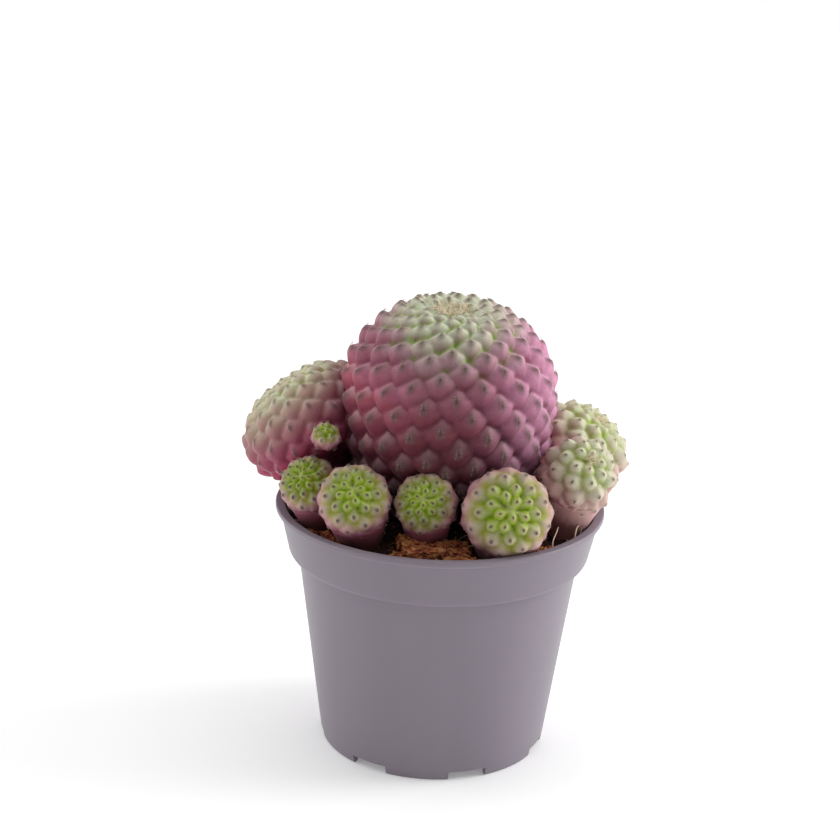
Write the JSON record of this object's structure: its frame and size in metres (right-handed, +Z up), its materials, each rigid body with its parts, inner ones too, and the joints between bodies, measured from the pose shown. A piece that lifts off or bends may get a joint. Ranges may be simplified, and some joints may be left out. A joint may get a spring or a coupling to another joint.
{
  "type": "potted cactus",
  "caption": "Clump of round tubercled cactus stems, one large with small offsets round its foot, growing in a tapered round nursery pot of soil.",
  "frame": {"origin": "on the floor that the foot ring stands on, under the middle of the whole outline; the pot's axis stands 1.6 mm to its right", "axes": "+Z up, parallel to the pot's axis, -Y towards the front with the row of small offsets, +X to the right seen from the front"},
  "size_m": [0.1026, 0.085, 0.119],
  "materials": {
    "pot_plastic": "satin moulded polypropylene, grey with a lilac cast",
    "potting_soil": "crumbly peat and coir with bark chips",
    "main_flesh": "waxy skin, mauve-pink, sage green towards the crown",
    "offset_flesh": "waxy skin, pale sage with a yellow-green crown and pink base"
  },
  "bodies": {
    "root": {"pot": "pot_plastic", "soil": "potting_soil", "main_stem": "main_flesh", "offset_left_large": "offset_flesh", "offset_left_small": "offset_flesh", "offset_front_left": "offset_flesh", "offset_front_middle": "offset_flesh", "offset_front_right": "offset_flesh", "offset_right_front": "offset_flesh", "offset_right_back": "offset_flesh"}
  },
  "joints": []
}
